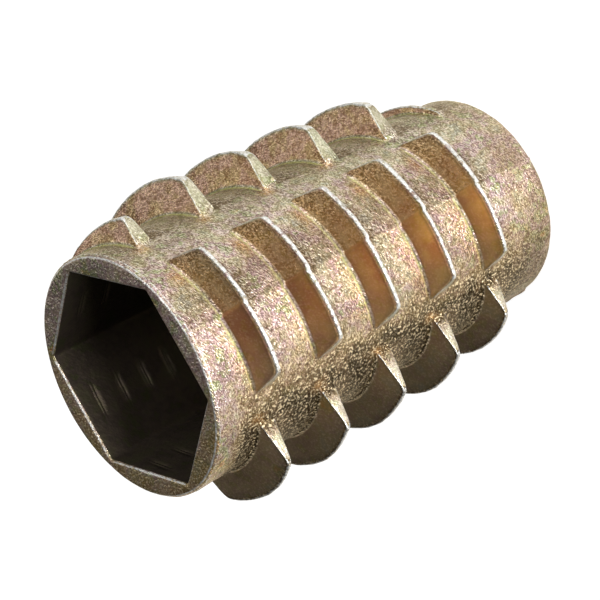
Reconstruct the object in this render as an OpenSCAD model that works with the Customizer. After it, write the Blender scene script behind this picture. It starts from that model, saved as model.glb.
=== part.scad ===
// Screw-in threaded insert for wood, die-cast in one piece.
// A tapered barrel carries a coarse outer thread that is cut into short knife
// fins by four lengthwise gaps. The upper end takes a hexagon key, and a bore
// for a machine screw runs from the key socket to the tip.
// The tip end stands on Z = 0 and the barrel's axis is the Z axis.

/* [Barrel] */
// Length over both end faces
insert_length = 19.6; // [16:0.1:30]
// Diameter at the key end
body_d = 10.0; // [9.8:0.1:12]
// Diameter of the tip, measured at its end face before rounding
tip_d = 8.86; // [8.6:0.02:9.6]
// Length of the straight part of the barrel below the key end
straight_length = 5.0; // [1:0.1:8]
// Rounding of the edge round the key end
rim_round = 0.14; // [0.05:0.01:0.25]
// Rounding of the edge round the tip
tip_round = 0.42; // [0.2:0.01:0.45]

/* [Outer thread] */
// Pitch of the right-hand thread
fin_pitch = 3.24; // [2.6:0.02:3.6]
// Number of fins along the thread, four to a turn
fin_count = 21; // [9:1:21]
// Height of a full fin above the barrel
fin_height = 1.38; // [0.8:0.02:1.8]
// Thickness of a full fin where it meets the barrel
fin_root = 0.76; // [0.6:0.02:1.1]
// Width of the flat land on the crest
fin_crest = 0.24; // [0.1:0.02:0.3]
// How far the crest leans back towards the tip
fin_lean = 0.35; // [0:0.01:0.5]
// Size of the fillet at the foot of each flank
fin_fillet = 0.12; // [0.05:0.01:0.2]
// Rounding of the crest's corner at each end of a fin
fin_corner = 0.3; // [0.05:0.01:0.5]
// Depth of the leading flank below the key end, on the +X side of the first turn
thread_start = 1.7; // [1.6:0.05:3]
// Turn, in degrees, over which the first fins rise to full height
run_in = 130; // [60:5:200]
// Turn, in degrees, over which the last fins fade out
run_out = 455; // [90:5:700]

/* [Gaps between the fins] */
// Chord of the fins on the +X and -X sides, where they meet the barrel
front_chord = 6.0; // [4:0.1:6.4]
// Chord of the fins on the +Y and -Y sides, where they meet the barrel
side_chord = 6.26; // [4:0.1:6.4]
// Draft angle of the fins' end faces
fin_draft = 7.5; // [2:0.5:12]

/* [Key socket] */
// Width across the flats of the hexagon
hex_af = 8.06; // [7.6:0.02:8.2]
// Depth of the hexagon
hex_depth = 7.6; // [4:0.1:10]
// Chamfer round the mouth of the hexagon
hex_chamfer = 0.1; // [0.05:0.01:0.12]

/* [Screw bore] */
// Bore left for the screw thread, its minor diameter
bore_d = 6.65; // [5:0.05:6.8]
// Depth of the cone that leads the screw from the socket into the bore
lead_in = 0.6; // [0.2:0.05:0.64]
// Depth of the 45 degree countersink at the tip
tip_sink = 0.3; // [0.1:0.05:0.4]

/* [Hidden] */
zinc = [0.66, 0.58, 0.44];
cut_over = 1;                 // how far a cutter reaches past the face that it opens
lead_over = 0.01;             // the same for the lead-in cone, which stays inside the hexagon
fin_sunk = 0.3;               // how deep a fin's foot is buried in the barrel
fin_steps = 7;                // straight steps along one fin, between its rounded corners
round_steps = 6;              // straight steps round an edge
gap_turn = 90;                // angle from one fin to the next
start_turn = -150;            // turn at which the thread begins to rise, from the +X side
body_r = body_d / 2;
taper_z = insert_length - straight_length;
taper = (body_r - tip_d / 2) / taper_z;
taper_angle = atan(taper);
first_turn = -gap_turn;
end_turn = first_turn + gap_turn * (fin_count - 1) + 75;
front_rise = fin_lean / fin_height;
back_rise = (fin_root - fin_lean - fin_crest) / fin_height;

// Barrel radius at a height above the tip
function barrel_r(z) = body_r - taper * max(0, taper_z - z);

// Points on an arc in the profile's plane
function arc(centre, r, from, to) =
    [for (i = [0:round_steps])
        let (a = from + (to - from) * i / round_steps)
        centre + r * [cos(a), sin(a)]];

// Height of the leading flank's foot after a given turn
function thread_z(turn) = insert_length - thread_start - fin_pitch * turn / 360;

// Share of the full fin height after a given turn: it rises, holds, then fades out
function rise(turn) = min(1, max(0, (turn - start_turn) / run_in));
function fade(turn) = 1 - pow(min(1, max(0, 1 - (end_turn - turn) / run_out)), 2);
function height_share(turn) = max(0.04, rise(turn) * fade(turn));

// A fin's end face is a plane along Z. plane_d is its distance from the axis, and
// end_angle is the angle from the middle of the fin to that plane at radius r.
function plane_d(chord) =
    let (w = chord / 2)
    w * cos(fin_draft) + sqrt(body_r * body_r - w * w) * sin(fin_draft);
function end_angle(r, d) = asin(d / r) - fin_draft;

// Cross-section of a fin as [height above the barrel, drop below the leading foot],
// with its crest lowered by cut
function fin_section(share, cut) =
    let (
        h = fin_height * share,
        top = h - min(cut, 0.5 * h),
        root = fin_root * (0.45 + 0.55 * share),
        crest = min(fin_crest, 0.6 * root),
        f = min(fin_fillet, 0.35 * h),
        back = (root - front_rise * h - crest) / h
    )
    [
        [-fin_sunk, -f - fin_sunk],
        [f, front_rise * f],
        [top, front_rise * top],
        [top, root - back * top],
        [f, root - back * f],
        [-fin_sunk, root + f + fin_sunk],
    ];

// The six points of a fin's section, at u from -1 to 1 along the fin
function fin_ring(middle, u, d, cut) =
    let (turn = middle + u * end_angle(body_r, d), z = thread_z(turn), r0 = barrel_r(z))
    [for (p = fin_section(height_share(turn), cut))
        let (r = r0 + p[0], a = middle + u * end_angle(r, d))
        [r * cos(-a), r * sin(-a), thread_z(a) - p[1]]];

// Where the sections of a fin lie, as [u, how far the crest is lowered there]
function fin_places(chord) =
    let (
        c = 2 * fin_corner / chord,
        round_end = [[1, fin_corner], [1 - 0.3 * c, 0.3 * fin_corner]]
    )
    concat(
        [for (p = round_end) [-p[0], p[1]]],
        [for (i = [0:fin_steps]) [(1 - c) * (2 * i / fin_steps - 1), 0]],
        [for (i = [1:-1:0]) round_end[i]]
    );

// One fin, whose middle lies after the given turn
module fin(middle, chord) {
    d = plane_d(chord);
    n = 6;
    places = fin_places(chord);
    rings = [for (p = places) each fin_ring(middle, p[0], d, p[1])];
    m = (len(places) - 1) * n;
    sides = [for (i = [0:n:m - n], k = [0:n - 1])
        let (a = i + k, b = i + (k + 1) % n)
        each [[a, b, b + n], [a, b + n, a + n]]];
    first = [[0, 5, 4, 1], [1, 4, 3, 2]];
    last = [[m, m + 1, m + 4, m + 5], [m + 1, m + 2, m + 3, m + 4]];
    polyhedron(points = rings, faces = concat(sides, first, last));
}

// The outer thread: one fin after each quarter turn, with a gap between them
module fins() {
    for (i = [0:fin_count - 1])
        fin(first_turn + i * gap_turn, i % 2 == 0 ? side_chord : front_chord);
}

// The barrel, solid, with both end edges rounded
module barrel() {
    tip_x = barrel_r(tip_round) - tip_round / cos(taper_angle);
    rotate_extrude($fn = 96)
        polygon(concat(
            [[0, 0]],
            arc([tip_x, tip_round], tip_round, -90, -taper_angle),
            [[body_r, taper_z]],
            arc([body_r - rim_round, insert_length - rim_round], rim_round, 0, 90),
            [[0, insert_length]]
        ));
}

// Hexagonal socket for the key, with a chamfered mouth
module key_socket() {
    across_corners = hex_af / cos(30);
    grow = 2 / cos(30);
    mouth_z = insert_length + cut_over;
    translate([0, 0, insert_length - hex_depth])
        rotate(30)
            cylinder(h = hex_depth + cut_over, d = across_corners, $fn = 6);
    translate([0, 0, insert_length - 3 * hex_chamfer])
        rotate(30)
            cylinder(
                h = 3 * hex_chamfer + cut_over,
                d1 = across_corners - 2 * hex_chamfer * grow,
                d2 = across_corners + (hex_chamfer + cut_over) * grow,
                $fn = 6
            );
}

// Bore for the screw, with its lead-in cone and the countersink at the tip
module screw_bore() {
    floor_z = insert_length - hex_depth;
    translate([0, 0, -cut_over])
        cylinder(h = floor_z + 2 * cut_over, d = bore_d, $fn = 72);
    translate([0, 0, floor_z - lead_in])
        cylinder(h = lead_in + lead_over, d1 = bore_d, d2 = bore_d + 2 * (lead_in + lead_over), $fn = 72);
    translate([0, 0, -cut_over])
        cylinder(h = tip_sink + cut_over, d1 = bore_d + 2 * (tip_sink + cut_over), d2 = bore_d, $fn = 72);
}

module insert() {
    color(zinc)
        difference() {
            union() {
                barrel();
                fins();
            }
            key_socket();
            screw_bore();
        }
}

insert();
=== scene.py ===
"""A screw-in threaded insert for wood, die-cast in zinc and chromated.

The insert is one casting, so it is one closed mesh: an outer skin that follows the
helix of the knife fins, an inner skin that follows the helix of the screw thread,
and rings that close the two ends. Sizes are in millimetres and angles in degrees
up to the point where the mesh is made.
"""
import logging
import math
from dataclasses import dataclass, field
from enum import Enum

import bmesh
import bpy
import numpy as np
from mathutils import Matrix, Vector, noise


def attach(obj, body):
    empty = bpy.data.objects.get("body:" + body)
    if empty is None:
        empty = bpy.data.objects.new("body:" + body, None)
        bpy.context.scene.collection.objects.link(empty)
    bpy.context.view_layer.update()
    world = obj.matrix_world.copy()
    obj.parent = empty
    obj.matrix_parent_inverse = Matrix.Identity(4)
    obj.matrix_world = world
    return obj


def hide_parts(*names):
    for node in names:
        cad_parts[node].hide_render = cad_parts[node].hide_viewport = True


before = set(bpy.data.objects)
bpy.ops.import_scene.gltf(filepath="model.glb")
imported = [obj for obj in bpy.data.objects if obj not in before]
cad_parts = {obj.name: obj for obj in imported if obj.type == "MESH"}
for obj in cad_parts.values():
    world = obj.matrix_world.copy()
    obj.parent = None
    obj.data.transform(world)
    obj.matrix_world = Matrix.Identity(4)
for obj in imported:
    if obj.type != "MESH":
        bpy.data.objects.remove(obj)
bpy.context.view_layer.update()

log = logging.getLogger("insert")

MM = 0.001
TURN = 360.0
ZONE = 90.0  # degrees that each zone of fins spans
FLAT = 60.0  # degrees that each flat of the hexagon spans
BEND_LINES = 4  # lines of the mesh round each corner of a fin

Rings = tuple[np.ndarray, np.ndarray]


# --------------------------------------------------------------------------- helpers
def smooth_min(a: np.ndarray, b: np.ndarray, k: float) -> np.ndarray:
    """Blends the smaller of two fields.

    Args:
        a: first field.
        b: second field.
        k: difference between the two below which they blend.

    Returns:
        The smaller of the two, rounded where they cross.
    """
    mix = np.maximum(k - np.abs(a - b), 0.0)
    return np.minimum(a, b) - mix * mix / (4.0 * k)


def smooth_max(a: np.ndarray, b: np.ndarray, k: float) -> np.ndarray:
    """Blends the larger of two fields, see smooth_min."""
    return -smooth_min(-a, -b, k)


def smooth_step(low: float, high: float, x: np.ndarray) -> np.ndarray:
    """Goes smoothly from 0 at low to 1 at high, which may be the lesser."""
    t = np.clip((x - low) / (high - low), 0.0, 1.0)
    return t * t * (3.0 - 2.0 * t)


def wrap_angle(x: np.ndarray, period: float) -> np.ndarray:
    """Brings an angle or a distance into the range from minus to plus half a period."""
    return (x + period / 2.0) % period - period / 2.0


def grain_field(points: np.ndarray, size: float, seed: float) -> np.ndarray:
    """Smooth noise at each point.

    Args:
        points: points in millimetres, one a row.
        size: size of the noise's lumps in millimetres.
        seed: offset that tells one field from another.

    Returns:
        One value a point, about -1 to 1.
    """
    shift = Vector((seed, seed * 1.7, -seed))
    return np.array([noise.noise(Vector(p) / size + shift) for p in points])


def spread(density: np.ndarray, at: np.ndarray, count: int) -> np.ndarray:
    """Places lines more closely where a density is higher.

    Args:
        density: relative number of lines at each place.
        at: the places, rising.
        count: number of lines.

    Returns:
        Places of the lines, from the first place up to but without the last.
    """
    total = np.concatenate([[0.0], np.cumsum((density[1:] + density[:-1]) / 2 * np.diff(at))])
    return np.interp(np.arange(count) / count * total[-1], total, at)


def evenly_between(a: np.ndarray, b: np.ndarray, count: int) -> list[np.ndarray]:
    """Returns evenly spaced points between two ends, without the ends."""
    return [a + (b - a) * (k + 1) / (count + 1) for k in range(count)]


def quarter_round(steps: int) -> list[tuple[float, float]]:
    """Steps along a quarter circle of radius 1.

    Args:
        steps: number of steps.

    Returns:
        For each step after the start, the distance from the tangent at the start and the
        distance from the tangent at the end.
    """
    angles = [math.pi / 2 * k / steps for k in range(1, steps + 1)]
    return [(1 - math.cos(angle), 1 - math.sin(angle)) for angle in angles]


def whole_turns(low: float, high: float, start: float, pitch: float) -> np.ndarray:
    """Numbers the turns of a helix.

    Args:
        low: least depth that the helix has to pass.
        high: greatest depth that it has to pass.
        start: depth of the helix where turn 0 begins.
        pitch: its pitch.

    Returns:
        The whole turns that cover the depths, with one more before and after them.
    """
    return np.arange(math.floor((low - start) / pitch) - 1, math.ceil((high - start) / pitch) + 1)


def direction(azimuth: float, elevation: float) -> Vector:
    """Returns the unit vector towards an azimuth and an elevation in degrees."""
    az, el = math.radians(azimuth), math.radians(elevation)
    return Vector((math.cos(el) * math.cos(az), math.cos(el) * math.sin(az), math.sin(el)))


def read_vectors(items: bpy.types.bpy_prop_collection, name: str) -> np.ndarray:
    """Reads a vector property.

    Args:
        items: a mesh's vertices, or their normals.
        name: the property's name.

    Returns:
        The vectors, one a row.
    """
    values = np.empty(len(items) * 3)
    items.foreach_get(name, values)
    return values.reshape(-1, 3)


def read_attribute(mesh: bpy.types.Mesh, name: str) -> np.ndarray:
    """Reads what each point of a mesh carries.

    Args:
        mesh: the mesh.
        name: the attribute's name.

    Returns:
        One value a point.
    """
    values = np.empty(len(mesh.vertices), np.float32)
    mesh.attributes[name].data.foreach_get("value", values)
    return values.astype(float)


def write_attribute(mesh: bpy.types.Mesh, name: str, values: np.ndarray) -> None:
    """Gives each point of a mesh a value to carry."""
    made = mesh.attributes.new(name, "FLOAT", "POINT")
    made.data.foreach_set("value", values.astype(np.float32))


# --------------------------------------------------------------------------- forms
class Mark(Enum):
    """What a point of the outer skin belongs to. Points of the plain band have none."""

    FOOT = 0
    FLANK = 1
    CREST = 2
    END = 3
    POOL = 4
    LEE = 5
    # painted shade on the band behind a fin
    RISE = 6


class Finish(Enum):
    """Which finish a face has."""

    CAST = 0
    SOCKET = 1
    TAPPED = 2


@dataclass
class Barrel:
    """The solid of revolution that carries the fins.

    Depth is measured from the key end towards the tip.
    """

    length: float = 19.6
    radius: float = 5.0
    tip_radius: float = 4.43
    straight: float = 5.0
    rim_round: float = 0.14
    tip_round: float = 0.42
    swell: float = 0.035

    def radius_at(self, depth: np.ndarray) -> np.ndarray:
        """Works out the radius, without the end roundings.

        Args:
            depth: distance from the key end.

        Returns:
            The radius there.
        """
        taper = (self.radius - self.tip_radius) / (self.length - self.straight)
        mouth = self.swell * smooth_step(1.3, 0.0, depth)
        return self.radius - taper * np.maximum(0.0, depth - self.straight) + mouth


@dataclass
class Slides:
    """The four slides of the die: each forms a gap and half of the fins beside it.

    Their parting lines run down the middle of each zone of fins. Coarse says how rough
    each slide cast the skin, and how much painted shade lies beside its first parting
    line; the angles after it say how far that reaches on the bands and on the flanks.
    """

    parting: float = 1.5
    step_width: float = 0.5
    axial: tuple = (0.045, 0.03, -0.03, -0.04)
    flash_height: float = 0.025
    flash_width: float = 0.55
    coarse: tuple = (0.6, 0.45, 0.45, 0.0)
    coarse_edge: float = 0.8
    coarse_full: float = 8.0
    coarse_none: float = 33.0
    flank_least: float = 0.45
    flank_rise: tuple = (5.0, 30.0)
    flank_stop: tuple = (60.0, 45.0)
    # where shade is painted on the low side: its middle, where it is full and where it ends
    painted_dark: float = -90.0
    painted_dark_full: float = 28.0
    painted_dark_none: float = 82.0
    uppermost: float = 95.0

    def _step(self, theta: np.ndarray, values: tuple) -> np.ndarray:
        """Gives each slide its own value, with a narrow step at the parting lines.

        Args:
            theta: directions in degrees.
            values: one value for each slide.

        Returns:
            The value in each direction.
        """
        place = (theta - self.parting) % TURN
        out = np.zeros_like(place)
        for k, value in enumerate(values):
            before = values[k - 1]
            out += np.where((place >= ZONE * k) & (place < ZONE * (k + 1)), value, 0.0)
            near = wrap_angle(place - ZONE * k, TURN)
            edge = 0.5 * (1 - np.abs(np.clip(near / self.step_width, -1, 1)))
            out += np.where(near >= 0, before - value, value - before) * edge
        return out

    def _coarseness(self, theta: np.ndarray) -> tuple[np.ndarray, np.ndarray]:
        """Finds the slide in each direction.

        Args:
            theta: directions in degrees.

        Returns:
            The angle from the slide's first parting line, and how coarse the slide is.
        """
        place = (theta - self.parting) % ZONE
        slide = (((theta - self.parting) % TURN) // ZONE).astype(int) % 4
        return place, np.take(self.coarse, slide)

    def axial_shift(self, theta: np.ndarray) -> np.ndarray:
        """Returns how far each slide sat towards the tip."""
        return self._step(theta, self.axial)

    def tone(self, theta: np.ndarray) -> np.ndarray:
        """Works out how coarse the bands are, and how much painted shade lies on them: most beside
        a slide's first parting line.

        Args:
            theta: directions in degrees.

        Returns:
            The coarseness and painted shade, 0 to 1.
        """
        place, coarse = self._coarseness(theta)
        edge = smooth_step(0.0, self.coarse_edge, place)
        return coarse * (edge * smooth_step(self.coarse_none, self.coarse_full, place))

    def flank_tone(self, theta: np.ndarray) -> np.ndarray:
        """Works out how coarse the flanks are, and how much painted shade lies on them: more
        towards the gap, nothing in the next zone.

        Args:
            theta: directions in degrees.

        Returns:
            The coarseness and painted shade, 0 to 1.
        """
        place, coarse = self._coarseness(theta)
        least = self.flank_least
        near = smooth_step(0.0, self.coarse_edge, place)
        near = near * (least + (1.0 - least) * smooth_step(*self.flank_rise, place))
        return coarse * near * smooth_step(*self.flank_stop, place)

    def painted_shade(self, theta: np.ndarray) -> np.ndarray:
        """Returns 1 on the side that is painted in shade, and 0 away from it."""
        away = np.abs(wrap_angle(theta - self.painted_dark, TURN))
        return smooth_step(self.painted_dark_none, self.painted_dark_full, away)

    def green(self, theta: np.ndarray) -> np.ndarray:
        """Returns 1 on the olive side, which is partly painted shade, and 0 away from it."""
        return smooth_step(0.3, 0.95, np.cos(np.radians(theta - self.uppermost)))

    def flash(self, theta: np.ndarray) -> np.ndarray:
        """Returns 1 on a parting line, falling to 0 beside it."""
        near = wrap_angle(theta - self.parting, ZONE)
        return np.exp(-((near / self.flash_width) ** 2))


@dataclass
class KnifeThread:
    """The coarse outer thread, cut into fins by the four gaps.

    Each zone of fins spans a quarter turn. Zone 0 is the one towards +X, and zones 1, 2
    and 3 follow counterclockwise as seen from the key end. The die pressed one end of
    the fins of zone 1 a little wider and lower. The pools are orange patches at the fins'
    ends: the middle and the reach in degrees and the lift above the fin's foot, each for
    the four zones.
    """

    barrel: Barrel
    slides: Slides
    pitch: float = 3.24
    start: float = 1.7
    height: float = 1.38
    root: float = 0.76
    root_least: float = 0.45
    crest: float = 0.15
    lean: float = 0.35
    back_most: float = 0.6
    first_turn: float = -105.0
    run_in: float = 56.0
    run_in_round: float = 0.2
    last_turn: float = 1785.0
    run_out: float = 455.0
    front_chord: float = 6.0
    side_chord: float = 6.26
    draft: float = 7.5
    corner: float = 0.34
    crest_round: float = 0.05
    foot_round: float = 0.16
    foot_blend: float = 0.12
    zone_height: tuple = (0.0, 0.03, 0.0, 0.15)
    height_loss: float = 0.03
    wave: float = 0.03
    pressed: tuple = (-22.0, -25.0)
    land_width: float = 0.17
    land_sink: float = 0.07
    pools: tuple = ((26.0, -40.0, 26.0, 40.0), (5.5, 3.0, 5.5, 3.0), (0.25, 0.0, 0.25, 0.0))
    pool_height: float = 0.32
    # painted shade on the band behind the fins: how far it reaches, its least strength and where it
    # stops
    fin_shade_reach: tuple = (1.9, 0.4)
    fin_shade_least: float = 0.75
    fin_shade_stop: tuple = (32.0, 20.0)
    columns: int = 296
    flank_lines: int = 8
    back_lines: int = 6
    band_lines: int = 13

    def turns(self) -> np.ndarray:
        """Places the mesh's columns over one turn, closest at the fins' ends and parting lines.

        Returns:
            Their turns in degrees, rising from 0.
        """
        at = np.linspace(0.0, TURN, 20 * 360 + 1)
        theta = -at
        from_middle = np.abs(wrap_angle(theta, ZONE))
        near_parting = wrap_angle(theta - self.slides.parting, ZONE)
        at_parting = np.exp(-((near_parting / 1.6) ** 2))
        density = 0.55 + 0.75 * smooth_step(17.0, 25.0, from_middle) + 1.1 * at_parting
        return spread(density, at, self.columns)

    def share(self, turn: np.ndarray) -> np.ndarray:
        """Lets the thread rise and fade out.

        Args:
            turn: turns in degrees.

        Returns:
            The share of its full height that the thread has there.
        """
        rise = np.maximum(turn - self.first_turn, 0.0) / self.run_in
        rise = smooth_min(rise, np.ones_like(turn), self.run_in_round)
        left = np.clip(1.0 - (self.last_turn - turn) / self.run_out, 0.0, 1.0)
        return rise * np.clip(1.0 - left * left, 0.0, 1.0)

    def end_height(self, theta: np.ndarray, depth: np.ndarray) -> np.ndarray:
        """Finds the end planes of the fins.

        Args:
            theta: directions in degrees.
            depth: distances from the key end.

        Returns:
            How high above the barrel the drafted planes stand there.
        """
        zone = np.round(theta / ZONE).astype(int) % 2
        half = np.where(zone == 0, self.front_chord, self.side_chord) / 2.0
        draft = math.radians(self.draft)
        distance = half * math.cos(draft) + np.sqrt(self.barrel.radius**2 - half**2) * math.sin(draft)
        angle = np.radians(np.abs(wrap_angle(theta, ZONE))) + draft
        return distance / np.sin(angle) - self.barrel.radius_at(depth)

    def section(self, turn: np.ndarray) -> tuple[np.ndarray, np.ndarray, np.ndarray]:
        """Works out the thread's section at each turn.

        Args:
            turn: turns in degrees, of any shape.

        Returns:
            Depth and height above the barrel for each line of the mesh, with the lines as
            the last axis, and the marks of each point, one for each member of Mark.
        """
        theta = -turn
        foot = self.start + self.pitch * turn / TURN + self.slides.axial_shift(theta)
        share = self.share(turn)
        zone = np.round(theta / ZONE).astype(int) % 4
        pressed = (zone == 1) * smooth_step(*self.pressed, wrap_angle(theta, ZONE)) * share
        extra = np.take(self.zone_height, zone)
        extra = extra - np.where(zone == 3, self.height_loss * (turn - ZONE) / TURN, 0.0)
        full = (self.height + extra) * share - self.land_sink * pressed
        wave = self.wave * np.sin(np.radians(turn * 3.1)) * np.sin(np.radians(turn * 7.7 + 40.0))
        top = smooth_min(full + wave * share, self.end_height(theta, foot), self.corner)
        top = smooth_max(top, np.zeros_like(top), self.foot_blend)
        root = self.root * (self.root_least + (1.0 - self.root_least) * share)
        crest = self.crest + self.land_width * pressed
        front = self.lean / self.height
        back = (root - front * full - np.minimum(crest, 0.6 * root)) / np.maximum(full, 0.02)
        back = np.clip(np.where(share > 0.02, back, 0.12), 0.0, self.back_most)
        flat = np.zeros_like(top)
        corners = [np.stack(pair, -1) for pair in (
            (flat, flat), (front * top, top), (root - back * top, top), (root, flat))]
        along, high = self._lines(corners, top, root)
        marks = self._marks(turn, along, high, top, full, root)
        return foot[..., None] + along, high, marks

    def _lines(self, corners: list[np.ndarray], top: np.ndarray,
               root: np.ndarray) -> tuple[np.ndarray, np.ndarray]:
        """Rounds a fin's corners and adds the band up to the next fin.

        Args:
            corners: foot, crest, crest and foot, each as distance along the axis and height.
            top: the fin's height.
            root: its width at the foot.

        Returns:
            Distance along the axis and height of each line, with the lines as the last axis.
        """
        limit = np.minimum(1.0, top / 0.45)
        rounds = [size * limit for size in
                  (self.foot_round, self.crest_round, self.crest_round, self.foot_round)]
        chain = [corners[0] - np.array([1.0, 0.0])] + corners + [corners[3] + np.array([1.0, 0.0])]
        between = (self.flank_lines, 1, self.back_lines)
        lines = []
        for k, round_size in enumerate(rounds):
            a, corner, b = chain[k:k + 3]
            size = round_size[..., None]
            into = (corner - a) / np.maximum(np.linalg.norm(corner - a, axis=-1, keepdims=True), 1e-6)
            out = (b - corner) / np.maximum(np.linalg.norm(b - corner, axis=-1, keepdims=True), 1e-6)
            enter, leave = corner - into * size, corner + out * size
            if k > 0:
                lines += evenly_between(left, enter, between[k - 1])
            for t in np.arange(BEND_LINES) / (BEND_LINES - 1):
                lines.append((1 - t) ** 2 * enter + 2 * t * (1 - t) * corner + t * t * leave)
            left = leave
        stack = np.stack(lines, -2)
        # Where there is hardly a fin, the lines lie flat on the band at even distances.
        even = np.linspace(0.0, 1.0, len(lines)) * (root[..., None] + 2 * self.foot_round)
        even = even - self.foot_round
        keep = smooth_step(0.02, 0.2, top)[..., None]
        along = stack[..., 0] * keep + even * (1 - keep)
        high = stack[..., 1] * keep
        band_from = along[..., -1:]
        steps = (np.arange(self.band_lines) + 1) / (self.band_lines + 1)
        band = band_from + (self.pitch - self.foot_round - band_from) * steps
        return np.concatenate([along, band], -1), np.concatenate([high, np.zeros_like(band)], -1)

    def _marks(self, turn: np.ndarray, along: np.ndarray, high: np.ndarray, top: np.ndarray,
               full: np.ndarray, root: np.ndarray) -> np.ndarray:
        """Marks what each point belongs to.

        Args:
            turn: turns in degrees.
            along: distance of each line from the fin's foot, along the axis.
            high: height of each line above the barrel.
            top: the fin's height.
            full: the height it has away from the end planes.
            root: its width at the foot.

        Returns:
            The marks, with the members of Mark as the last axis.
        """
        line = np.arange(along.shape[-1])
        crest_from = BEND_LINES + self.flank_lines
        on_foot = line == 1
        on_flank = (line >= BEND_LINES - 1) & (line < crest_from)
        on_crest = (line >= crest_from) & (line < crest_from + 2 * BEND_LINES + 1)
        # Heights are in millimetres: a fin is marked in full from 0.3 up, and as its end
        # where the end planes take 0.25 or more off it.
        strength = smooth_step(0.05, 0.3, top)
        at_end = smooth_step(0.05, 0.25, full - top)
        outer = smooth_step(0.1, 0.5, top / np.maximum(full, 0.1))
        theta = -turn
        zone = np.round(theta / ZONE).astype(int) % 4
        from_middle = wrap_angle(theta, ZONE)
        # The pools lie between two fins, so they end where the next fin is missing.
        beyond = smooth_step(0.1, 0.5, self.share(turn + TURN))
        centre, reach, lift = (np.take(pool, zone) for pool in self.pools)
        lead = np.exp(-(((from_middle - centre) / reach) ** 2))
        near = np.minimum(np.abs(along), self.pitch - along) - lift[..., None]
        bare = np.where(on_foot | on_flank | on_crest, 1.0 - strength[..., None], 1.0)
        near = np.exp(-((near / self.pool_height) ** 2)) * bare
        # Painted shade on the strip of band behind a fin, on the side of the tip, where the fin would
        # shade it.
        behind = smooth_step(*self.fin_shade_reach, along - root[..., None]) * (along > root[..., None])
        shaded = self.fin_shade_least + 0.4 * smooth_step(-5.0, 5.0, from_middle)
        shaded = shaded * smooth_step(*self.fin_shade_stop, from_middle)
        shaded = np.where(zone % 2 == 0, shaded, 1.0)
        climb = np.clip(high / np.maximum(top, 0.05)[..., None], 0.0, 1.0)
        found = {
            Mark.FOOT: on_foot * strength[..., None],
            Mark.FLANK: on_flank * strength[..., None],
            Mark.RISE: on_flank * strength[..., None] * climb,
            Mark.CREST: on_crest * (strength * (1 - at_end))[..., None],
            Mark.END: on_crest * (strength * at_end * outer)[..., None],
            Mark.POOL: (beyond * lead)[..., None] * near,
            Mark.LEE: behind * (strength * shaded)[..., None],
        }
        marks = np.zeros(along.shape + (len(Mark),))
        for mark, values in found.items():
            marks[..., mark.value] = values
        return marks


@dataclass
class KeySocket:
    """The hexagonal socket that the driving key fits."""

    across_flats: float = 8.06
    depth: float = 7.6
    mouth: float = 0.1
    corner: float = 0.1

    def radius_at(self, theta: np.ndarray) -> np.ndarray:
        """Works out the hexagon's radius.

        Args:
            theta: directions in degrees.

        Returns:
            The radius in each direction.
        """
        inner = self.across_flats / 2.0
        near = np.radians(np.abs(wrap_angle(theta, FLAT)))
        beside = math.radians(FLAT) - near
        return smooth_min(inner / np.cos(near), inner / np.cos(beside), self.corner)


@dataclass
class ScrewThread:
    """The tapped M8 thread, and the marks that its tap left on the socket's flats."""

    pitch: float = 1.25
    minor: float = 3.325
    major: float = 4.02
    tap: float = 4.09
    land: float = 0.08
    scratch: float = 0.008
    scratch_slope: float = 3.5
    scratch_gap: float = 0.13
    scratch_lines: tuple = (-0.2, -0.027, 0.0, 0.027, 0.105, 0.13, 0.155, 0.35, 0.525, 0.7, 0.875)
    start: float = 0.185

    def threaded(self, offset: np.ndarray) -> np.ndarray:
        """Cuts the thread into the bore.

        Args:
            offset: distance from a groove's middle.

        Returns:
            The bore's radius there.
        """
        away = np.abs(wrap_angle(offset, self.pitch))
        groove = self.major - np.maximum(0.0, away - self.land) * math.sqrt(3.0)
        return np.maximum(self.minor, groove)

    def scratched(self, offset: np.ndarray) -> np.ndarray:
        """Scratches the socket's flats in pairs.

        Args:
            offset: distance from a pair's first scratch.

        Returns:
            The radius that the tap reached there.
        """
        first = np.abs(wrap_angle(offset, self.pitch))
        second = np.abs(wrap_angle(offset - self.scratch_gap, self.pitch)) + self.scratch
        away = np.maximum(0.0, np.minimum(first, second) - self.scratch)
        return self.tap - away * self.scratch_slope

    def bore_lines(self) -> np.ndarray:
        """Places the mesh's lines along one pitch of the bore.

        Returns:
            Their distances from a groove's middle.
        """
        cut = (self.major - self.minor) / math.sqrt(3.0) + self.land
        half = 0.5 * (cut + self.land)
        return np.array([-cut, -half, -self.land, self.land, half, cut, 0.5 * self.pitch])


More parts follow.
